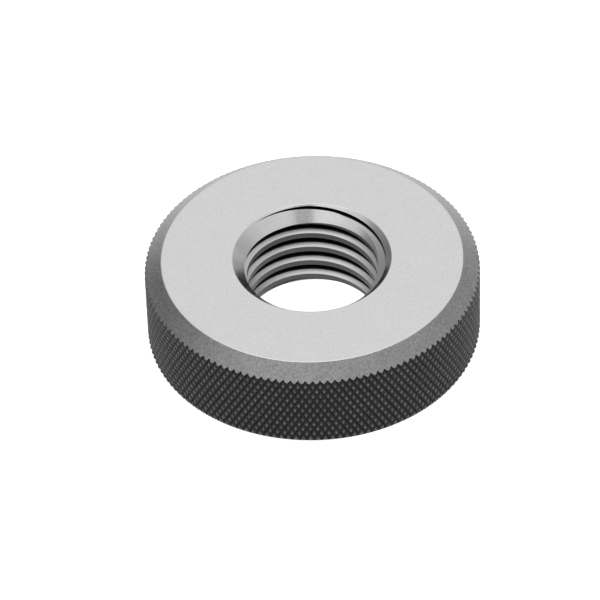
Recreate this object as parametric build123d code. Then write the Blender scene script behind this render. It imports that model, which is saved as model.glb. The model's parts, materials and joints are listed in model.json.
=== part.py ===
"""Thread ring gauge: one hardened steel ring that a screw is run through.

The ring lies flat. Its lower face is on Z = 0, its axis is +Z and the
origin is on the axis. All lengths are millimetres and all angles degrees.

The blank is turned: a ground face at each end, a conical chamfer between each
face and the gripping band, and a countersink at each end of the bore. The
thread is one right-hand groove with 60 degree flanks and a narrow clearance
at its root. It follows a true helix through the whole ring and runs out
through both countersinks, so at each end it thins away on the cone. The flat
land between its turns clears the core of the screw, and its flanks gauge the
screw's own flanks. Last, two crossing sets of grooves knurl the band, and the
chamfers leave its edge notched.
"""

import os
from math import ceil, pi, radians, tan

from build123d import *
from build123d.topology import SkipClean

# Blank
OUTSIDE_DIAMETER = 45.0
THICKNESS = 14.0
FACE_DIAMETER = 40.4
OUTER_CHAMFER_HEIGHT = 1.8

# Thread, M20 x 2.5
PITCH = 2.5
PITCH_DIAMETER = 18.376
CORE_DIAMETER = 17.65
ROOT_DIAMETER = 20.8
ROOT_WIDTH = 0.3125
FLANK_ANGLE = 30.0
THREAD_START_ANGLE = 134.0

# Countersink at each end of the bore
MOUTH_DIAMETER = 21.3
COUNTERSINK_ANGLE = 90.0

# Diamond knurl, with its tips on the outside diameter. The angle is between
# a groove and the axis
KNURL_COUNT = 72
KNURL_ANGLE = 30.0
KNURL_DEPTH = 0.33

# The ring is made as equal sectors, so that each stretch of the helical land
# is a face of its own that climbs less than the land is wide
SECTORS = 4

# The cutters start this far outside the metal, and the blank leaves half of it
# on the band for the knurl to take off
CUTTER_CLEARANCE = 0.4

CORE_RADIUS = CORE_DIAMETER / 2
ROOT_RADIUS = ROOT_DIAMETER / 2
RIM_RADIUS = OUTSIDE_DIAMETER / 2
FACE_RADIUS = FACE_DIAMETER / 2
CHAMFER_SLOPE = OUTER_CHAMFER_HEIGHT / (RIM_RADIUS - FACE_RADIUS)
SECTOR_ANGLE = 360 / SECTORS

# The knurl's points stand on a grid of half diamonds
KNURL_COLUMNS = 2 * KNURL_COUNT
KNURL_STEP = 360 / KNURL_COLUMNS
KNURL_RISE = 2 * pi * RIM_RADIUS / KNURL_COLUMNS / tan(radians(KNURL_ANGLE))


def blank_section() -> Face:
    """Half section of the blank in the XZ plane, with the axis on its left."""
    mouth = MOUTH_DIAMETER / 2
    sink_depth = (mouth - CORE_RADIUS) / tan(radians(COUNTERSINK_ANGLE / 2))
    band = RIM_RADIUS + CUTTER_CLEARANCE / 2
    band_edge = (band - FACE_RADIUS) * CHAMFER_SLOPE
    outline = Polyline(
        (CORE_RADIUS, sink_depth),
        (mouth, 0),
        (FACE_RADIUS, 0),
        (band, band_edge),
        (band, THICKNESS - band_edge),
        (FACE_RADIUS, THICKNESS),
        (mouth, THICKNESS),
        (CORE_RADIUS, THICKNESS - sink_depth),
        close=True,
    )
    return make_face(Plane.XZ * outline)


def groove_section() -> Face:
    """Section of the groove's cutter, narrow at the root, centred on Z = 0."""
    slope = tan(radians(FLANK_ANGLE))
    inner = CORE_RADIUS - CUTTER_CLEARANCE
    inner_half = PITCH / 4 + (PITCH_DIAMETER / 2 - inner) * slope
    root_half = ROOT_WIDTH / 2
    flank_end = PITCH_DIAMETER / 2 + (PITCH / 4 - root_half) / slope
    outline = Polyline(
        (inner, -inner_half),
        (flank_end, -root_half),
        (ROOT_RADIUS, -root_half),
        (ROOT_RADIUS, root_half),
        (flank_end, root_half),
        (inner, inner_half),
        close=True,
    )
    return make_face(Plane.XZ * outline)


def groove_turns() -> list[Solid]:
    """The groove as single turns end to end, from above the ring to below it."""
    turn = sweep(groove_section(), path=Helix(PITCH, PITCH, CORE_RADIUS), is_frenet=True).solid()
    turn = turn.rotate(Axis.Z, THREAD_START_ANGLE)
    turns_down = ceil(THICKNESS / PITCH) + 1
    return [turn.moved(Location((0, 0, THICKNESS - place * PITCH))) for place in range(-1, turns_down + 1)]


def threaded_blank() -> Solid:
    """The blank with its thread: every sector cut by itself, then all joined."""
    turns = groove_turns()
    sectors = []
    for place in range(SECTORS):
        sector = revolve(blank_section(), Axis.Z, SECTOR_ANGLE).solid()
        sector = sector.rotate(Axis.Z, place * SECTOR_ANGLE)
        for turn in turns:
            sector = sector.cut(turn).solid()
        sectors.append(sector)
    with SkipClean():
        return sectors[0].fuse(*sectors[1:]).solid()


def knurl_point(column: int, row: int) -> Vector:
    """A diamond's tip where column and row add up to an even number, and
    elsewhere the crossing of two grooves. Row 0 is at half the thickness."""
    radius = RIM_RADIUS - KNURL_DEPTH * ((column + row) % 2)
    height = THICKNESS / 2 + row * KNURL_RISE
    return Vector(radius, 0, height).rotate(Axis.Z, column % KNURL_COLUMNS * KNURL_STEP)


def knurl_facets(column: int, row: int) -> list[Face]:
    """The two facets between four neighbouring points, which meet in a groove."""
    square = [(column, row), (column + 1, row), (column + 1, row + 1), (column, row + 1)]
    start = (column + row + 1) % 2
    corners = [knurl_point(*square[(start + turn) % 4]) for turn in range(4)]
    crossing, tip, next_crossing, next_tip = corners
    sides = ((crossing, tip, next_crossing), (crossing, next_crossing, next_tip))
    return [Face(Wire.make_polygon(side)) for side in sides]


def knurl_cutter() -> Solid:
    """What the knurl takes off the band: a collar with the diamonds inside it."""
    reach = THICKNESS / 2 - OUTER_CHAMFER_HEIGHT + KNURL_DEPTH * CHAMFER_SLOPE
    end_row = ceil(reach / KNURL_RISE)
    outside = RIM_RADIUS + CUTTER_CLEARANCE
    low = Plane((0, 0, THICKNESS / 2 - end_row * KNURL_RISE))
    collar = Solid.make_cylinder(outside, 2 * end_row * KNURL_RISE, low)
    faces = collar.faces().filter_by(GeomType.CYLINDER)
    for row in range(-end_row, end_row):
        for column in range(KNURL_COLUMNS):
            faces += knurl_facets(column, row)
    for row, plane in ((-end_row, low), (end_row, low.offset(2 * end_row * KNURL_RISE))):
        inner = Wire.make_polygon([knurl_point(column, row) for column in range(KNURL_COLUMNS)])
        faces.append(Face(Wire.make_circle(outside, plane), [inner]))
    return Solid(Shell(faces))


def gauge_ring() -> Solid:
    """The finished ring: the threaded blank with its band knurled."""
    blank = threaded_blank()
    with SkipClean():
        return blank.cut(knurl_cutter()).solid()


os.makedirs("parts", exist_ok=True)
export_step(gauge_ring(), "parts/gauge_ring.step")
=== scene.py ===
"""Looks of the thread ring gauge.

One hardened steel ring: ground faces, turned chamfers, a blackened diamond
knurl round the rim, and a bright right-hand thread that runs out through the
countersinks of its bore. All lengths are metres unless a name says otherwise.
"""

import json
import logging
import math
from contextlib import contextmanager
from dataclasses import dataclass
from enum import Enum
from typing import Callable, Iterator

import bmesh
import bpy
from mathutils import Matrix, Vector


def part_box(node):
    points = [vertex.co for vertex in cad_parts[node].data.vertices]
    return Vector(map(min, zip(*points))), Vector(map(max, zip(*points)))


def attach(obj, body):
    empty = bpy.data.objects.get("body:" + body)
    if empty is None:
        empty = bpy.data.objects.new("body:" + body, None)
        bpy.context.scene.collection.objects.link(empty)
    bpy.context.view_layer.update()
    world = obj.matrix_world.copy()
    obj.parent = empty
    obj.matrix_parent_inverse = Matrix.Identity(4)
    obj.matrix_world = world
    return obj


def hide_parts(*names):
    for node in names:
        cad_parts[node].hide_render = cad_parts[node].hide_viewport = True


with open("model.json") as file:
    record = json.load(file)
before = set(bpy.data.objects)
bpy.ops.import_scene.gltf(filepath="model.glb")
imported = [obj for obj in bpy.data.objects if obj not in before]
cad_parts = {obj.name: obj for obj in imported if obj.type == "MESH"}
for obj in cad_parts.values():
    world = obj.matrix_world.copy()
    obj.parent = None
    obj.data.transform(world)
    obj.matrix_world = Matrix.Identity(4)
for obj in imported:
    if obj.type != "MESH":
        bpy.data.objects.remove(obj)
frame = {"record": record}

LOG = logging.getLogger("thread_ring_gauge")
MM = 0.001
NODE = "gauge_ring"
PIECE = "thread_ring"
BODY = "root"
IMAGE_WIDTH_PX = 600
WELD = 0.0005 * MM
BEND_WELD = 10 * WELD
END_FACE_NORMAL = 0.9


class Zone(Enum):
    """The finished zones of the ring, in the order of its material slots."""

    GROUND_FACE = 0
    CHAMFER = 1
    KNURL = 2
    COUNTERSINK = 3
    FLANK = 4
    LAND = 5


class End(Enum):
    """The two ends of the ring, with the sign of their outward axis."""

    LOWER = -1
    UPPER = 1


class WearAndPaintedShade(Enum):
    """Where a finish shows its second grey, by the name of the effect's group: wear or painted
    shade.
    """

    WORN_TIPS = "worn_tips"
    # Painted shade: a darker grey deep in the thread's groove, where light does not reach.
    DEEP_GROOVE = "deep_groove"


# --------------------------------------------------------------- modelling aids


def deselect_all() -> None:
    """Leaves object mode with nothing selected."""
    if bpy.context.mode != "OBJECT":
        bpy.ops.object.mode_set(mode="OBJECT")
    bpy.ops.object.select_all(action="DESELECT")


def make_active(piece: bpy.types.Object) -> None:
    """Selects one object and nothing else.

    Args:
        piece: The object.
    """
    deselect_all()
    piece.select_set(True)
    bpy.context.view_layer.objects.active = piece


def name_new(name: str) -> bpy.types.Object:
    """Names the object that the last operator added.

    Args:
        name: Name for the object and its mesh.

    Returns:
        The object.
    """
    piece = bpy.context.view_layer.objects.active
    piece.name = name
    piece.data.name = name
    return piece


@contextmanager
def edit_mode(piece: bpy.types.Object) -> Iterator[None]:
    """Holds a piece in edit mode with nothing selected, then leaves it.

    Args:
        piece: The mesh object to edit.
    """
    make_active(piece)
    bpy.ops.object.mode_set(mode="EDIT")
    bpy.ops.mesh.select_mode(type="VERT")
    bpy.ops.mesh.select_all(action="DESELECT")
    yield
    bpy.ops.object.mode_set(mode="OBJECT")


def select_verts(piece: bpy.types.Object, wanted: Callable[[Vector], bool]) -> None:
    """Selects vertices in edit mode.

    Args:
        piece: The mesh object that is being edited.
        wanted: Tells, by its place, whether a vertex is wanted.
    """
    bpy.ops.mesh.select_mode(type="VERT")
    bpy.ops.mesh.select_all(action="DESELECT")
    mesh = bmesh.from_edit_mesh(piece.data)
    for vert in mesh.verts:
        vert.select_set(wanted(vert.co))
    mesh.select_flush_mode()
    bmesh.update_edit_mesh(piece.data)


def select_open_edges(piece: bpy.types.Object, wanted: Callable[[Vector], bool]) -> None:
    """Selects open edges in edit mode.

    Args:
        piece: The mesh object that is being edited.
        wanted: Tells whether an end is wanted; an edge needs both of its ends.
    """
    bpy.ops.mesh.select_mode(type="EDGE")
    bpy.ops.mesh.select_all(action="DESELECT")
    mesh = bmesh.from_edit_mesh(piece.data)
    for edge in mesh.edges:
        edge.select_set(edge.is_boundary and all(wanted(vert.co) for vert in edge.verts))
    bmesh.update_edit_mesh(piece.data)


def select_faces(piece: bpy.types.Object, wanted: Callable[[bmesh.types.BMFace], bool]) -> None:
    """Selects faces in edit mode.

    Args:
        piece: The mesh object that is being edited.
        wanted: Tells whether a face is wanted.
    """
    bpy.ops.mesh.select_mode(type="FACE")
    bpy.ops.mesh.select_all(action="DESELECT")
    mesh = bmesh.from_edit_mesh(piece.data)
    for face in mesh.faces:
        face.select_set(wanted(face))
    bmesh.update_edit_mesh(piece.data)


def apply_modifier(piece: bpy.types.Object, kind: str, **settings: object) -> None:
    """Adds one modifier to a piece and applies it.

    Args:
        piece: The object that takes the modifier.
        kind: Blender's name for the modifier's type.
        settings: Values for the modifier's own properties.
    """
    make_active(piece)
    modifier = piece.modifiers.new(kind.title(), kind)
    for key, value in settings.items():
        setattr(modifier, key, value)
    bpy.ops.object.modifier_apply(modifier=modifier.name)


def repeat(piece: bpy.types.Object, count: int, step: tuple[float, float, float]) -> None:
    """Repeats a piece in a straight row and welds the copies together.

    Args:
        piece: The object to repeat.
        count: How many there are in the row, with the first.
        step: The way from one to the next.
    """
    apply_modifier(
        piece,
        "ARRAY",
        count=count,
        use_relative_offset=False,
        use_constant_offset=True,
        constant_offset_displace=step,
        use_merge_vertices=True,
        merge_threshold=WELD,
    )


def join(pieces: list[bpy.types.Object]) -> bpy.types.Object:
    """Joins pieces into one.

    Args:
        pieces: The objects to join.

    Returns:
        The first of them, which now holds them all.
    """
    make_active(pieces[0])
    for piece in pieces:
        piece.select_set(True)
    bpy.ops.object.join()
    return pieces[0]


def radius_of(place: Vector) -> float:
    """Distance of a place from the ring's axis."""
    return math.hypot(place.x, place.y)


def grey(level: float) -> tuple[float, float, float, float]:
    """Writes a grey as an opaque colour."""
    return (level, level, level, 1.0)


# ------------------------------------------------------------------------ sizes


@dataclass(frozen=True)
class RingSizes:
    """The sizes that the rim and the bore share."""

    outside_radius: float
    thickness: float
    core_radius: float
    face_radius: float = 20.2 * MM
    chamfer_height: float = 1.8 * MM
    mouth_radius: float = 10.65 * MM
    edge_break: float = 0.05 * MM

    @property
    def chamfer_width(self) -> float:
        """Radial width of the outer chamfer."""
        return self.outside_radius - self.face_radius

    @property
    def sink_depth(self) -> float:
        """Depth of the countersink, which stands at 45 degrees."""
        return self.mouth_radius - self.core_radius

    @classmethod
    def from_frame(cls) -> "RingSizes":
        """Takes the outside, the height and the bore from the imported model.

        Returns:
            The sizes.
        """
        low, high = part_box(NODE)
        bore = next(m for m in frame["record"]["mounts"] if m["kind"] == "threaded_hole")
        return cls(
            outside_radius=(high.x - low.x) / 2,
            thickness=high.z - low.z,
            core_radius=bore["dims"]["r_mm"] * MM,
        )


# -------------------------------------------------------------------------- rim


@dataclass
class KnurledRim:
    """Rim with its diamond knurl, both chamfers and the rims of the faces.

    The rim is modelled unrolled and then bent round. Unrolled, X runs round
    the ring, Y runs inwards from the outside radius, and Z is the axis.
    """

    sizes: RingSizes
    diamonds_round: int = 144
    helix_angle: float = math.radians(30)
    depth: float = 0.3 * MM
    shoulder_inset: float = 0.22 * MM
    shoulder_rise: float = 0.22 * MM
    tip_inset: float = 0.09 * MM
    row_shift: float = 0.2 * MM

    @property
    def unrolled_length(self) -> float:
        """Length of the outside of the rim."""
        return 2 * math.pi * self.sizes.outside_radius

    @property
    def diamond_width(self) -> float:
        """Width of one diamond, round the ring."""
        return self.unrolled_length / self.diamonds_round

    @property
    def diamond_height(self) -> float:
        """Height of one diamond, along the axis."""
        return self.diamond_width / math.tan(self.helix_angle)

    def build(self) -> bpy.types.Object:
        """Models the rim.

        Returns:
            An open shell, from the inner edge of one face's rim to the other's.
        """
        rim = self._diamond()
        self._spread(rim)
        for end in End:
            self._cut_chamfer(rim, end)
            self._draw_in(rim, end)
        self._bend_round(rim)
        return rim

    def _diamond(self) -> bpy.types.Object:
        """Models one pyramid of the knurl, with a shoulder and a blunt tip.

        Returns:
            The pyramid, unrolled, with its middle at height zero.
        """
        deselect_all()
        bpy.ops.mesh.primitive_circle_add(
            vertices=4,
            radius=self.diamond_width / 2,
            fill_type="NGON",
            location=(0, self.depth, 0),
            rotation=(math.pi / 2, 0, 0),
        )
        diamond = name_new("knurled_rim")
        bpy.ops.object.transform_apply(location=True, rotation=True, scale=True)
        with edit_mode(diamond):
            bpy.ops.mesh.select_all(action="SELECT")
            stretch = self.diamond_height / self.diamond_width
            bpy.ops.transform.resize(value=(1, 1, stretch), center_override=(0, 0, 0))
            bpy.ops.mesh.inset(thickness=self.shoulder_inset)
            bpy.ops.transform.translate(value=(0, -self.shoulder_rise, 0))
            bpy.ops.mesh.inset(thickness=self.tip_inset)
            bpy.ops.transform.translate(value=(0, self.shoulder_rise - self.depth, 0))
        return diamond

    def _spread(self, rim: bpy.types.Object) -> None:
        """Repeats the diamond round the rim and past both of its chamfers.

        Args:
            rim: The diamond, which becomes the whole knurl.
        """
        rows = 2 * math.ceil(self.sizes.thickness / self.diamond_height / 2) + 1
        middle = self.sizes.thickness / 2 + self.row_shift
        lowest = middle - (rows - 1) / 2 * self.diamond_height
        rim.data.transform(Matrix.Translation((0, 0, lowest)))
        repeat(rim, rows, (0, 0, self.diamond_height))
        repeat(rim, self.diamonds_round, (self.diamond_width, 0, 0))
        between = rim.copy()
        between.data = rim.data.copy()
        bpy.context.collection.objects.link(between)
        shift = (self.diamond_width / 2, 0, self.diamond_height / 2)
        between.data.transform(Matrix.Translation(shift))
        join([rim, between])
        with edit_mode(rim):
            bpy.ops.mesh.select_all(action="SELECT")
            bpy.ops.mesh.remove_doubles(threshold=WELD)

    def _chamfer_plane(self, end: End) -> tuple[Vector, Vector]:
        """Finds the plane of one chamfer, unrolled.

        Args:
            end: The end of the ring that the chamfer is on.

        Returns:
            A point on it and its outward normal.
        """
        middle = self.sizes.thickness / 2
        rim_edge = middle + end.value * (middle - self.sizes.chamfer_height)
        normal = Vector((0, -self.sizes.chamfer_height, end.value * self.sizes.chamfer_width))
        return Vector((0, 0, rim_edge)), normal.normalized()

    def _cut_chamfer(self, rim: bpy.types.Object, end: End) -> None:
        """Cuts the knurl off along one chamfer, which leaves its notched edge.

        Args:
            rim: The unrolled rim.
            end: The end to cut.
        """
        point, normal = self._chamfer_plane(end)
        with edit_mode(rim):
            bpy.ops.mesh.select_all(action="SELECT")
            bpy.ops.mesh.bisect(
                plane_co=point, plane_no=normal, clear_outer=True, threshold=WELD
            )

    def _draw_in(self, rim: bpy.types.Object, end: End) -> None:
        """Draws the cut edge in over the chamfer and over its broken corner.

        Args:
            rim: The unrolled rim.
            end: The end whose cut edge is drawn in.
        """
        point, normal = self._chamfer_plane(end)
        middle = self.sizes.thickness / 2
        face_height = middle + end.value * middle
        slope = self.sizes.chamfer_height / self.sizes.chamfer_width
        edge_break = self.sizes.edge_break
        stops = [
            (self.sizes.chamfer_width - edge_break, face_height - end.value * edge_break * slope),
            (self.sizes.chamfer_width + edge_break, face_height),
        ]
        with edit_mode(rim):
            select_open_edges(rim, lambda place: abs((place - point).dot(normal)) < WELD)
            for inward, height in stops:
                bpy.ops.mesh.extrude_edges_move()
                bpy.ops.transform.resize(value=(1, 0, 0), center_override=(0, inward, height))

    def _bend_round(self, rim: bpy.types.Object) -> None:
        """Bends the unrolled rim into a ring about the axis and closes it.

        Args:
            rim: The unrolled rim.
        """
        along = [vert.co.x for vert in rim.data.vertices]
        turn = 2 * math.pi * (max(along) - min(along)) / self.unrolled_length
        apply_modifier(rim, "SIMPLE_DEFORM", deform_method="BEND", deform_axis="Z", angle=turn)
        rim.data.transform(Matrix.Translation((0, -self.sizes.outside_radius, 0)))
        with edit_mode(rim):
            bpy.ops.mesh.select_all(action="SELECT")
            bpy.ops.mesh.remove_doubles(threshold=BEND_WELD)


# ------------------------------------------------------------------------- bore


@dataclass
class ThreadedBore:
    """Countersunk bore with its helical thread, inside a plain sleeve."""

    sizes: RingSizes
    pitch: float = 2.5 * MM
    pitch_radius: float = 9.188 * MM
    root_radius: float = 10.46 * MM
    root_width: float = 0.3125 * MM
    flank_angle: float = math.radians(30)
    start_angle: float = math.radians(141)
    segments: int = 240
    sleeve_wall: float = 1.5 * MM
    cutter_clearance: float = 0.4 * MM
    spare_turns: int = 2
    unplaced_reach: float = 0.4
    groove_corners: int = 6

    @property
    def sleeve_radius(self) -> float:
        """Outside radius of the sleeve that carries the bore."""
        return self.sizes.mouth_radius + self.sleeve_wall

    def flank_half_width(self, radius: float) -> float:
        """Half the groove's width between its flanks, at one radius."""
        return self.pitch / 4 - (radius - self.pitch_radius) * math.tan(self.flank_angle)

    @property
    def flank_end(self) -> float:
        """Radius where the flanks are as close as the root is wide."""
        spare = self.pitch / 4 - self.root_width / 2
        return self.pitch_radius + spare / math.tan(self.flank_angle)

    def build(self) -> bpy.types.Object:
        """Models the bore.

        Returns:
            An open shell: the bore and an inner ring of each ground face.
        """
        sleeve = self._sleeve()
        cutter = self._cutter()
        apply_modifier(
            sleeve, "BOOLEAN", object=cutter, operation="DIFFERENCE", solver="EXACT"
        )
        bpy.data.objects.remove(cutter)
        wall = self.sleeve_radius - self.sleeve_wall / 2
        with edit_mode(sleeve):
            bpy.ops.mesh.select_all(action="SELECT")
            bpy.ops.mesh.remove_doubles(threshold=WELD)
            select_faces(sleeve, lambda face: all(radius_of(v.co) > wall for v in face.verts))
            bpy.ops.mesh.delete(type="FACE")
        return sleeve

    def _sleeve(self) -> bpy.types.Object:
        """Models the sleeve before threading.

        Returns:
            A drilled and countersunk cylinder.
        """
        sizes = self.sizes
        middle = sizes.thickness / 2
        deselect_all()
        bpy.ops.mesh.primitive_cylinder_add(
            vertices=self.segments,
            radius=self.sleeve_radius,
            depth=sizes.thickness,
            end_fill_type="NGON",
            location=(0, 0, middle),
        )
        sleeve = name_new("threaded_bore")
        bpy.ops.object.transform_apply(location=True, rotation=True, scale=True)
        with edit_mode(sleeve):
            for end in End:
                select_faces(sleeve, lambda face: face.normal.z * end.value > END_FACE_NORMAL)
                bpy.ops.mesh.inset(thickness=self.sleeve_wall - sizes.edge_break)
                mouth = sizes.mouth_radius + sizes.edge_break
                for radius, depth in (
                    (sizes.mouth_radius - sizes.edge_break, sizes.edge_break),
                    (sizes.core_radius, sizes.sink_depth),
                ):
                    height = middle + end.value * (middle - depth)
                    scale = radius / mouth
                    bpy.ops.mesh.extrude_region_move()
                    bpy.ops.transform.resize(
                        value=(scale, scale, 0), center_override=(0, 0, height)
                    )
                    mouth = radius
            select_faces(sleeve, lambda face: len(face.verts) == self.segments)
            bpy.ops.mesh.bridge_edge_loops()
        return sleeve

    def _cutter(self) -> bpy.types.Object:
        """Models what the groove takes away.

        Returns:
            A closed coil that reaches past both ends of the sleeve.
        """
        turns = math.ceil(self.sizes.thickness / self.pitch) + self.spare_turns
        rise = self.start_angle / (2 * math.pi) * self.pitch
        start_height = self.sizes.thickness + self.pitch - rise - turns * self.pitch
        inner = self.sizes.core_radius - self.cutter_clearance
        deselect_all()
        bpy.ops.mesh.primitive_plane_add(size=1, rotation=(math.pi / 2, 0, 0))
        cutter = name_new("groove_cutter")
        bpy.ops.object.transform_apply(location=True, rotation=True, scale=True)
        with edit_mode(cutter):
            # Corners that are still to be placed lie half a metre out.
            for side, radius in ((-1, inner), (1, self.flank_end)):
                select_verts(cutter, lambda place: place.x * side > self.unplaced_reach)
                width = 2 * self.flank_half_width(radius)
                bpy.ops.transform.resize(value=(0, 1, width), center_override=(0, 0, 0))
                bpy.ops.transform.translate(value=(radius, 0, start_height))
            bpy.ops.mesh.extrude_region_move()
            bpy.ops.transform.translate(value=(self.root_radius - self.flank_end, 0, 0))
            select_verts(cutter, lambda place: abs(place.x - self.flank_end) < WELD)
            bpy.ops.mesh.dissolve_edges(use_verts=False)
            bpy.ops.mesh.select_all(action="SELECT")
            bpy.ops.mesh.delete(type="ONLY_FACE")
        # Half a step round keeps the coil's edges off the sleeve's own.
        half_step = Matrix.Rotation(math.pi / self.segments, 4, "Z")
        climb = Matrix.Translation((0, 0, self.pitch / self.segments / 2))
        cutter.data.transform(climb @ half_step)
        apply_modifier(
            cutter,
            "SCREW",
            axis="Z",
            angle=2 * math.pi,
            screw_offset=self.pitch,
            iterations=turns,
            steps=self.segments,
            render_steps=self.segments,
            use_smooth_shade=False,
        )
        with edit_mode(cutter):
            bpy.ops.mesh.select_all(action="SELECT")
            bpy.ops.mesh.fill_holes(sides=self.groove_corners)
            bpy.ops.mesh.normals_make_consistent(inside=False)
        return cutter


# --------------------------------------------------------------------- finishes


SocketValue = bpy.types.NodeSocket | float | tuple[float, ...]


class NodeSheet:
    """A node tree under construction: places nodes and wires them."""

    SPACING = 180

    def __init__(self, tree: bpy.types.NodeTree) -> None:
        """Starts from an empty tree.

        Args:
            tree: A material's, a world's or a group's node tree.
        """
        self.tree = tree
        self.tree.nodes.clear()

    def add(self, kind: str, **settings: object) -> bpy.types.Node:
        """Adds a node.

        Args:
            kind: Blender's name for the node's type.
            settings: Values for the node's own properties.

        Returns:
            The node.
        """
        node = self.tree.nodes.new(kind)
        node.location.x = self.SPACING * len(self.tree.nodes)
        for key, value in settings.items():
            setattr(node, key, value)
        return node

    def feed(self, socket: bpy.types.NodeSocket, value: SocketValue) -> None:
        """Wires an input to a socket, or sets it to a plain value.

        Args:
            socket: The input.
            value: An output socket, a number or a vector.
        """
        if isinstance(value, bpy.types.NodeSocket):
            self.tree.links.new(value, socket)
        else:
            socket.default_value = value

    def math(self, operation: str, *values: SocketValue) -> bpy.types.NodeSocket:
        """Adds a Math node.

        Args:
            operation: Blender's name for the sum.
            values: Its operands, as sockets or numbers.

        Returns:
            The node's result.
        """
        node = self.add("ShaderNodeMath", operation=operation)
        for socket, value in zip(node.inputs, values):
            self.feed(socket, value)
        return node.outputs[0]

    def ramp(
        self, value: SocketValue, low: float, high: float, to: tuple[float, float]
    ) -> bpy.types.NodeSocket:
        """Maps a value smoothly from one range to another, and holds it there.

        Args:
            value: The value to map.
            low: Where the first range starts.
            high: Where the first range ends.
            to: The range that it is mapped to.

        Returns:
            The mapped value.
        """
        node = self.add("ShaderNodeMapRange", interpolation_type="SMOOTHSTEP")
        for socket, number in zip(node.inputs, (value, low, high, *to)):
            self.feed(socket, number)
        return node.outputs[0]

    def noise(
        self, vector: bpy.types.NodeSocket, scale: float, detail: float = 3.0
    ) -> bpy.types.NodeSocket:
        """Adds a Noise Texture.

        Args:
            vector: The place that it is read at.
            scale: Its fineness, in features to one unit of that place.
            detail: How many finer layers it has.

        Returns:
            The noise's value.
        """
        node = self.add("ShaderNodeTexNoise")
        self.feed(node.inputs["Vector"], vector)
        node.inputs["Scale"].default_value = scale
        node.inputs["Detail"].default_value = detail
        return node.outputs[0]

    def group(self, tree: bpy.types.NodeTree, **values: SocketValue) -> bpy.types.Node:
        """Places a node group.

        Args:
            tree: The group.
            values: Values for its named inputs.

        Returns:
            The group's node.
        """
        node = self.add("ShaderNodeGroup", node_tree=tree)
        for key, value in values.items():
            self.feed(node.inputs[key], value)
        return node

    def millimetres(self) -> bpy.types.NodeSocket:
        """Adds Object coordinates.

        Returns:
            The place on the piece, in millimetres.
        """
        scaled = self.add("ShaderNodeVectorMath", operation="SCALE")
        self.feed(scaled.inputs[0], self.add("ShaderNodeTexCoord").outputs["Object"])
        scaled.inputs["Scale"].default_value = 1 / MM
        return scaled.outputs[0]


def new_group(
    name: str, inputs: dict[str, float], outputs: list[str]
) -> tuple[bpy.types.NodeTree, NodeSheet, bpy.types.Node, bpy.types.Node]:
    """Starts a shader node group.

    Args:
        name: Name of the group.
        inputs: Number inputs and their defaults.
        outputs: Number outputs.

    Returns:
        The group's tree, its sheet, its input node and its output node.
    """
    tree = bpy.data.node_groups.new(name, "ShaderNodeTree")
    sheet = NodeSheet(tree)
    number = "NodeSocketFloat"
    for socket_name, default in inputs.items():
        socket = tree.interface.new_socket(socket_name, in_out="INPUT", socket_type=number)
        socket.default_value = default
    for socket_name in outputs:
        tree.interface.new_socket(socket_name, in_out="OUTPUT", socket_type=number)
    return tree, sheet, sheet.add("NodeGroupInput"), sheet.add("NodeGroupOutput")


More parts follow.
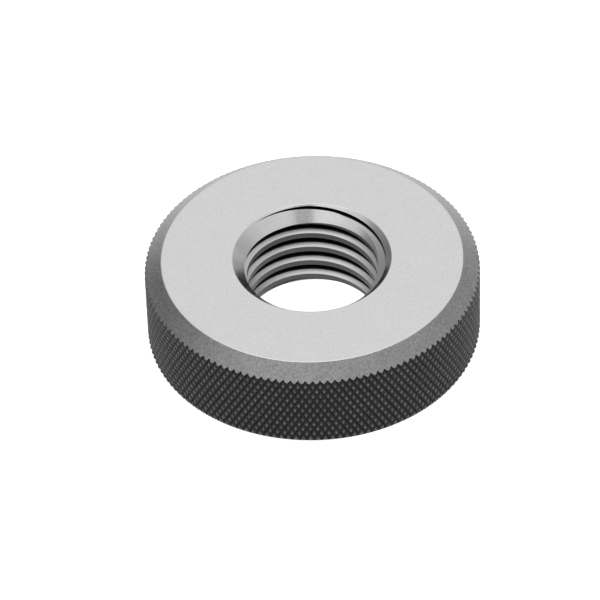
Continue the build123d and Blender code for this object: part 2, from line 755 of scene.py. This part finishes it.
class SteelEffects:
    """Surface effects that the ring's finishes share, as node groups.

    The scales are in features to the millimetre. The masks are looked up by
    the wear or the painted shade that they stand for.
    """

    NOISE_MIDDLE = 0.5
    CLOUD_SCALE = 0.35
    GRAIN_SCALE = 3.2
    GRAIN_DETAIL = 4.0
    LINE_DRIFT_SCALE = 0.15
    LINE_DRIFT_DETAIL = 2.0
    RUB_SCALE = 0.9
    RUB_RANGE = (0.35, 0.65)
    LEAST_RUB = 0.45
    ROOT_SHADE_MM = 0.2

    def __init__(self, sizes: RingSizes, bore: ThreadedBore) -> None:
        """Builds every effect once.

        Args:
            sizes: Sizes of the ring.
            bore: The bore whose groove is painted darker with depth, as shade.
        """
        self.place = self._place()
        self.mottle = self._mottle()
        self.tool_lines = self._tool_lines()
        self.masks = {
            WearAndPaintedShade.WORN_TIPS: self._worn_tips(sizes),
            WearAndPaintedShade.DEEP_GROOVE: self._painted_groove_shade(sizes, bore),
        }

    @staticmethod
    def _place() -> bpy.types.NodeTree:
        """Makes the group that tells where on the ring a point is.

        Returns:
            The group: distance from the axis and height, in millimetres.
        """
        tree, sheet, _, result = new_group("ring_place", {}, ["Radius", "Height"])
        place = sheet.add("ShaderNodeTexCoord").outputs["Object"]
        split = sheet.add("ShaderNodeSeparateXYZ")
        sheet.feed(split.inputs[0], place)
        flat = sheet.add("ShaderNodeVectorMath", operation="MULTIPLY")
        sheet.feed(flat.inputs[0], place)
        sheet.feed(flat.inputs[1], (1, 1, 0))
        length = sheet.add("ShaderNodeVectorMath", operation="LENGTH")
        sheet.feed(length.inputs[0], flat.outputs[0])
        radius = sheet.math("DIVIDE", length.outputs["Value"], MM)
        sheet.feed(result.inputs["Radius"], radius)
        sheet.feed(result.inputs["Height"], sheet.math("DIVIDE", split.outputs["Z"], MM))
        return tree

    def _mottle(self) -> bpy.types.NodeTree:
        """Makes the group of slow clouds and fine grain.

        Returns:
            The group: a tone about 1, and a height for bumps.
        """
        tree, sheet, given, result = new_group(
            "steel_mottle", {"Cloud": 0.04, "Grain": 0.04}, ["Tone", "Height"]
        )
        place = sheet.millimetres()
        cloud = sheet.noise(place, self.CLOUD_SCALE)
        cloud = sheet.math("SUBTRACT", cloud, self.NOISE_MIDDLE)
        grain = sheet.noise(place, self.GRAIN_SCALE, self.GRAIN_DETAIL)
        grain = sheet.math("SUBTRACT", grain, self.NOISE_MIDDLE)
        cloud_tone = sheet.math("MULTIPLY_ADD", cloud, given.outputs["Cloud"], 1.0)
        tone = sheet.math("MULTIPLY_ADD", grain, given.outputs["Grain"], cloud_tone)
        sheet.feed(result.inputs["Tone"], tone)
        sheet.feed(result.inputs["Height"], grain)
        return tree

    def _tool_lines(self) -> bpy.types.NodeTree:
        """Makes the group of fine tool lines that run round the axis.

        Returns:
            The group: a tone about 1, and a height for bumps.
        """
        tree, sheet, given, result = new_group(
            "tool_lines", {"Strength": 0.1, "Lines": 9.0}, ["Tone", "Height"]
        )
        ring = sheet.group(self.place)
        across = sheet.add("ShaderNodeCombineXYZ")
        for axis, name in (("X", "Radius"), ("Y", "Height")):
            lines = sheet.math("MULTIPLY", ring.outputs[name], given.outputs["Lines"])
            sheet.feed(across.inputs[axis], lines)
        drift = sheet.noise(sheet.millimetres(), self.LINE_DRIFT_SCALE, self.LINE_DRIFT_DETAIL)
        sheet.feed(across.inputs["Z"], drift)
        line = sheet.noise(across.outputs[0], 1.0)
        line = sheet.math("SUBTRACT", line, self.NOISE_MIDDLE)
        tone = sheet.math("MULTIPLY_ADD", line, given.outputs["Strength"], 1.0)
        sheet.feed(result.inputs["Tone"], tone)
        sheet.feed(result.inputs["Height"], line)
        return tree

    def _worn_tips(self, sizes: RingSizes) -> bpy.types.NodeTree:
        """Makes the group that finds the knurl's tips, which handling has rubbed.

        Args:
            sizes: Sizes of the ring.

        Returns:
            The group: an uneven mask of the tips.
        """
        tree, sheet, given, result = new_group(
            WearAndPaintedShade.WORN_TIPS.value, {"Depth": 0.12}, ["Mask"]
        )
        rim = sizes.outside_radius / MM
        radius = sheet.group(self.place).outputs["Radius"]
        below_rim = sheet.math("SUBTRACT", rim, radius)
        near = sheet.math("DIVIDE", below_rim, given.outputs["Depth"])
        tips = sheet.ramp(near, 0.0, 1.0, (1.0, 0.0))
        rub = sheet.noise(sheet.millimetres(), self.RUB_SCALE)
        patches = sheet.ramp(rub, *self.RUB_RANGE, (self.LEAST_RUB, 1.0))
        sheet.feed(result.inputs["Mask"], sheet.math("MULTIPLY", tips, patches))
        return tree

    def _painted_groove_shade(self, sizes: RingSizes, bore: ThreadedBore) -> bpy.types.NodeTree:
        """Makes the group that paints shade into the groove by its depth.

        Args:
            sizes: Sizes of the ring.
            bore: The bore whose groove it is.

        Returns:
            The group: a mask of painted shade, where the land above keeps the groove dark.
        """
        tree, sheet, given, result = new_group(
            WearAndPaintedShade.DEEP_GROOVE.value, {"Lit": 0.5, "Fade": 0.14}, ["Mask"]
        )
        ring = sheet.group(self.place)
        half = sizes.thickness / 2 / MM
        from_middle = sheet.math("ABSOLUTE", sheet.math("SUBTRACT", ring.outputs["Height"], half))
        cone = sheet.math("ADD", from_middle, sizes.mouth_radius / MM - half)
        opening = sheet.math("MAXIMUM", cone, sizes.core_radius / MM)
        depth = sheet.math("SUBTRACT", ring.outputs["Radius"], opening)
        # Painted shade: darker past the lit depth below the opening, and at the root.
        shade = sheet.math("SUBTRACT", depth, given.outputs["Lit"])
        shade = sheet.math("DIVIDE", shade, given.outputs["Fade"])
        root_shade = bore.flank_end / MM - self.ROOT_SHADE_MM
        root = sheet.math("SUBTRACT", ring.outputs["Radius"], root_shade)
        root = sheet.math("DIVIDE", root, given.outputs["Fade"])
        mask = sheet.ramp(sheet.math("MAXIMUM", shade, root), 0.0, 1.0, (0.0, 1.0))
        sheet.feed(result.inputs["Mask"], mask)
        return tree


@dataclass(frozen=True)
class SteelFinish:
    """One finish of the ring's steel.

    The greys are the metal's own, before any light, except the flank's second
    grey and the land's grey, which are painted shade. Cloud, grain and tool
    lines say how far each one moves the tone.
    """

    zone: Zone
    grey: float
    roughness: float
    cloud: float
    grain: float
    tool_lines: float
    bump: float
    second_grey: float | None = None
    second_where: WearAndPaintedShade | None = None
    grain_roughness: float = 0.12
    bump_distance: float = 0.02 * MM

    def material(self, effects: SteelEffects) -> bpy.types.Material:
        """Makes the finish's material.

        Args:
            effects: The shared surface effects.

        Returns:
            The material.
        """
        material = bpy.data.materials.new(f"steel_{self.zone.name.lower()}")
        material.use_nodes = True
        sheet = NodeSheet(material.node_tree)
        shader = sheet.add("ShaderNodeBsdfPrincipled")
        output = sheet.add("ShaderNodeOutputMaterial")
        sheet.feed(output.inputs["Surface"], shader.outputs[0])
        shader.inputs["Metallic"].default_value = 1.0
        mottle = sheet.group(effects.mottle, Cloud=self.cloud, Grain=self.grain)
        lines = sheet.group(effects.tool_lines, Strength=self.tool_lines)
        tone = sheet.math("MULTIPLY", mottle.outputs["Tone"], lines.outputs["Tone"])
        tint = sheet.add("ShaderNodeVectorMath", operation="SCALE")
        sheet.feed(tint.inputs[0], self._colour(sheet, effects))
        sheet.feed(tint.inputs["Scale"], tone)
        sheet.feed(shader.inputs["Base Color"], tint.outputs[0])
        spread = sheet.math(
            "MULTIPLY_ADD", mottle.outputs["Height"], self.grain_roughness, self.roughness
        )
        sheet.feed(shader.inputs["Roughness"], spread)
        bump = sheet.add("ShaderNodeBump")
        bump.inputs["Strength"].default_value = self.bump
        bump.inputs["Distance"].default_value = self.bump_distance
        height = sheet.math("ADD", mottle.outputs["Height"], lines.outputs["Height"])
        sheet.feed(bump.inputs["Height"], height)
        sheet.feed(shader.inputs["Normal"], bump.outputs[0])
        return material

    def _colour(self, sheet: NodeSheet, effects: SteelEffects) -> SocketValue:
        """Mixes the finish's grey with the second one, where that one shows.

        Args:
            sheet: The material's sheet.
            effects: The shared surface effects.

        Returns:
            A plain colour where there is no second grey, or else the mix.
        """
        if self.second_where is None:
            return grey(self.grey)[:3]
        mask = sheet.group(effects.masks[self.second_where]).outputs["Mask"]
        mix = sheet.add("ShaderNodeMix", data_type="RGBA")
        sheet.feed(mix.inputs["Factor"], mask)
        first, second = (socket for socket in mix.inputs if socket.type == "RGBA")
        first.default_value = grey(self.grey)
        second.default_value = grey(self.second_grey)
        return next(socket for socket in mix.outputs if socket.type == "RGBA")


# ------------------------------------------------------------------------- ring


FINISHES = (
    SteelFinish(
        zone=Zone.GROUND_FACE,
        grey=0.72,
        roughness=0.38,
        cloud=0.05,
        grain=0.32,
        tool_lines=0.0,
        bump=0.15,
    ),
    SteelFinish(
        zone=Zone.CHAMFER,
        grey=0.27,
        roughness=0.4,
        cloud=0.2,
        grain=1.2,
        tool_lines=0.1,
        bump=0.6,
    ),
    SteelFinish(
        zone=Zone.KNURL,
        grey=0.046,
        roughness=0.55,
        cloud=0.2,
        grain=0.5,
        tool_lines=0.0,
        bump=0.4,
        second_grey=0.13,
        second_where=WearAndPaintedShade.WORN_TIPS,
    ),
    SteelFinish(
        zone=Zone.COUNTERSINK,
        grey=0.6,
        roughness=0.2,
        cloud=0.2,
        grain=0.12,
        tool_lines=0.3,
        bump=0.3,
    ),
    # The flank's second grey is painted shade: near black deep in the groove and at its root.
    SteelFinish(
        zone=Zone.FLANK,
        grey=0.55,
        roughness=0.3,
        cloud=0.05,
        grain=0.1,
        tool_lines=0.2,
        bump=0.3,
        second_grey=0.015,
        second_where=WearAndPaintedShade.DEEP_GROOVE,
    ),
    # The land's dark grey is painted shade: the same ground steel as the flanks, painted dark
    # where it faces across the dark bore.
    SteelFinish(
        zone=Zone.LAND,
        grey=0.09,
        roughness=0.4,
        cloud=0.05,
        grain=0.1,
        tool_lines=0.3,
        bump=0.3,
    ),
)


@dataclass
class GaugeRing:
    """The whole ring: the rim and the bore joined by the ground faces."""

    sizes: RingSizes
    smooth_angle: float = math.radians(12)
    sink_lean: float = math.radians(45)
    lean_tolerance: float = math.radians(5)
    zone_tolerance: float = 0.004 * MM

    def build(self) -> bpy.types.Object:
        """Models and dresses the ring.

        Returns:
            The finished piece, which stands for the solid ring of the frame.
        """
        rim = KnurledRim(self.sizes).build()
        bore = ThreadedBore(self.sizes)
        ring = join([rim, bore.build()])
        ring.name = PIECE
        ring.data.name = PIECE
        self._close_faces(ring)
        self._dress(ring, SteelEffects(self.sizes, bore))
        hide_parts(NODE)
        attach(ring, BODY)
        return ring

    def _close_faces(self, ring: bpy.types.Object) -> None:
        """Closes each ground face between the rim and the bore.

        Args:
            ring: The rim and the bore, joined.
        """
        with edit_mode(ring):
            for height in (0.0, self.sizes.thickness):
                select_open_edges(ring, lambda place: abs(place.z - height) < WELD)
                bpy.ops.mesh.bridge_edge_loops()
            bpy.ops.mesh.select_all(action="SELECT")
            bpy.ops.mesh.normals_make_consistent(inside=False)
        make_active(ring)
        bpy.ops.object.shade_smooth_by_angle(angle=self.smooth_angle)

    def _zone(self, face: bpy.types.MeshPolygon) -> Zone:
        """Finds the zone that a face belongs to, by its place and lean.

        Args:
            face: The face.

        Returns:
            Its zone.
        """
        sizes = self.sizes
        near = self.zone_tolerance
        radius = radius_of(face.center)
        depth = min(face.center.z, sizes.thickness - face.center.z)
        if radius < sizes.core_radius + near:
            return Zone.LAND
        if radius < sizes.mouth_radius + sizes.edge_break:
            lean = math.acos(min(1.0, abs(face.normal.z)))
            past_groove = radius > sizes.mouth_radius - 2 * sizes.edge_break
            on_cone = abs(lean - self.sink_lean) < self.lean_tolerance
            return Zone.COUNTERSINK if past_groove or on_cone else Zone.FLANK
        if radius < sizes.face_radius:
            return Zone.GROUND_FACE
        chamfer_depth = (radius - sizes.face_radius) * sizes.chamfer_height / sizes.chamfer_width
        if abs(depth - chamfer_depth) < near:
            return Zone.CHAMFER
        return Zone.KNURL

    def _dress(self, ring: bpy.types.Object, effects: SteelEffects) -> None:
        """Gives every zone its finish.

        Args:
            ring: The closed ring.
            effects: The shared surface effects.
        """
        ring.data.materials.clear()
        for finish in sorted(FINISHES, key=lambda item: item.zone.value):
            ring.data.materials.append(finish.material(effects))
        for face in ring.data.polygons:
            face.material_index = self._zone(face).value


# ----------------------------------------------------------------------- studio


@dataclass(frozen=True)
class RoomPatch:
    """A patch of the room that is dimmer or brighter than the rest.

    The patch is round about a direction. Its reach and its edge are distances
    from that direction on a sphere of radius one.
    """

    direction: tuple[float, float, float]
    reach: float
    edge: float
    level: float


@dataclass
class Studio:
    """White floor, soft light from above and a long lens.

    The room is a plain grey that brightens overhead, with three patches: a dim
    side, a bright wall, and the one who looks on, whom the metal mirrors.
    """

    sizes: RingSizes
    camera_distance: float = 641.8 * MM
    camera_elevation: float = math.radians(43.18)
    camera_roll: float = math.radians(-1.93)
    aim_right: float = -1.78 * MM
    aim_back: float = -8.3 * MM
    focal_length_px: float = 4843.0
    sensor_width_mm: float = 36.0
    nearest: float = 0.01
    farthest: float = 20.0
    floor_glow: float = 0.8
    wall_level: float = 0.5
    ceiling_level: float = 1.18
    full_ceiling: float = 0.7
    dark_side: RoomPatch = RoomPatch((-0.8, 0.45, 0.35), 0.3, 0.75, 0.5)
    bright_wall: RoomPatch = RoomPatch((0.68, 0.72, 0.15), 0.12, 0.34, 1.5)
    onlooker: RoomPatch = RoomPatch((0.12, -0.675, 0.725), 0.16, 0.21, 0.3)
    lamp_place: tuple[float, float, float] = (-0.1, -0.3, 1.2)
    lamp_size: float = 1.2
    lamp_watts: float = 1.8
    floor_size: float = 8.0
    floor_grey: float = 0.8
    floor_gap: float = 0.02 * MM

    def build(self) -> None:
        """Sets up the camera, the floor, the lamp and the world."""
        self._camera()
        self._floor()
        self._lamp()
        self._world()
        bpy.context.scene.view_settings.view_transform = "Standard"

    def _camera(self) -> None:
        """Adds the camera, aimed just in front of the upper face's centre."""
        data = bpy.data.cameras.new("camera")
        camera = bpy.data.objects.new("camera", data)
        bpy.context.collection.objects.link(camera)
        data.sensor_width = self.sensor_width_mm
        data.lens = self.focal_length_px / IMAGE_WIDTH_PX * self.sensor_width_mm
        data.clip_start = self.nearest
        data.clip_end = self.farthest
        aim = Vector((self.aim_right, self.aim_back, self.sizes.thickness))
        tilt = Matrix.Rotation(math.pi / 2 - self.camera_elevation, 4, "X")
        roll = Matrix.Rotation(self.camera_roll, 4, "Z")
        back = Matrix.Translation((0, 0, self.camera_distance))
        camera.matrix_world = Matrix.Translation(aim) @ tilt @ back @ roll
        bpy.context.scene.camera = camera

    def _floor(self) -> None:
        """Adds a floor that shows white to the camera and still takes a shadow."""
        deselect_all()
        bpy.ops.mesh.primitive_plane_add(size=self.floor_size, location=(0, 0, -self.floor_gap))
        floor = name_new("floor")
        material = bpy.data.materials.new("white_floor")
        material.use_nodes = True
        sheet = NodeSheet(material.node_tree)
        paint = sheet.add("ShaderNodeBsdfDiffuse")
        glow = sheet.add("ShaderNodeEmission")
        path = sheet.add("ShaderNodeLightPath").outputs
        seen = sheet.math("MAXIMUM", path["Is Camera Ray"], path["Is Glossy Ray"])
        sheet.feed(glow.inputs["Strength"], sheet.math("MULTIPLY", seen, self.floor_glow))
        paint.inputs["Color"].default_value = grey(self.floor_grey)
        both = sheet.add("ShaderNodeAddShader")
        sheet.feed(both.inputs[0], paint.outputs[0])
        sheet.feed(both.inputs[1], glow.outputs[0])
        output = sheet.add("ShaderNodeOutputMaterial")
        sheet.feed(output.inputs["Surface"], both.outputs[0])
        floor.data.materials.append(material)

    def _lamp(self) -> None:
        """Adds a square soft lamp that points at the ring."""
        data = bpy.data.lights.new("key_light", "AREA")
        data.size = self.lamp_size
        data.energy = self.lamp_watts
        lamp = bpy.data.objects.new("key_light", data)
        bpy.context.collection.objects.link(lamp)
        lamp.location = self.lamp_place
        lamp.rotation_euler = (-Vector(self.lamp_place)).to_track_quat("-Z", "Y").to_euler()

    def _world(self) -> None:
        """Adds a pale room that is brighter overhead than at its walls."""
        world = bpy.data.worlds.new("studio")
        bpy.context.scene.world = world
        world.use_nodes = True
        sheet = NodeSheet(world.node_tree)
        room = sheet.add("ShaderNodeBackground")
        direction = sheet.add("ShaderNodeTexCoord").outputs["Generated"]
        split = sheet.add("ShaderNodeSeparateXYZ")
        sheet.feed(split.inputs[0], direction)
        levels = (self.wall_level, self.ceiling_level)
        level = sheet.ramp(split.outputs["Z"], 0.0, self.full_ceiling, levels)
        for patch in (self.dark_side, self.bright_wall, self.onlooker):
            gap = sheet.add("ShaderNodeVectorMath", operation="DISTANCE")
            sheet.feed(gap.inputs[0], direction)
            sheet.feed(gap.inputs[1], patch.direction)
            change = sheet.ramp(gap.outputs["Value"], patch.reach, patch.edge, (patch.level, 1.0))
            level = sheet.math("MULTIPLY", level, change)
        sheet.feed(room.inputs["Strength"], level)
        output = sheet.add("ShaderNodeOutputWorld")
        sheet.feed(output.inputs["Surface"], room.outputs[0])


def main() -> None:
    """Builds the ring and the studio, and reports each."""
    logging.basicConfig(level=logging.INFO, format="%(name)s: %(message)s")
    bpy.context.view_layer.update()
    sizes = RingSizes.from_frame()
    Studio(sizes).build()
    LOG.info("studio ready")
    ring = GaugeRing(sizes).build()
    LOG.info("%s: %d faces", ring.name, len(ring.data.polygons))
    deselect_all()


if __name__ == "__main__":
    main()
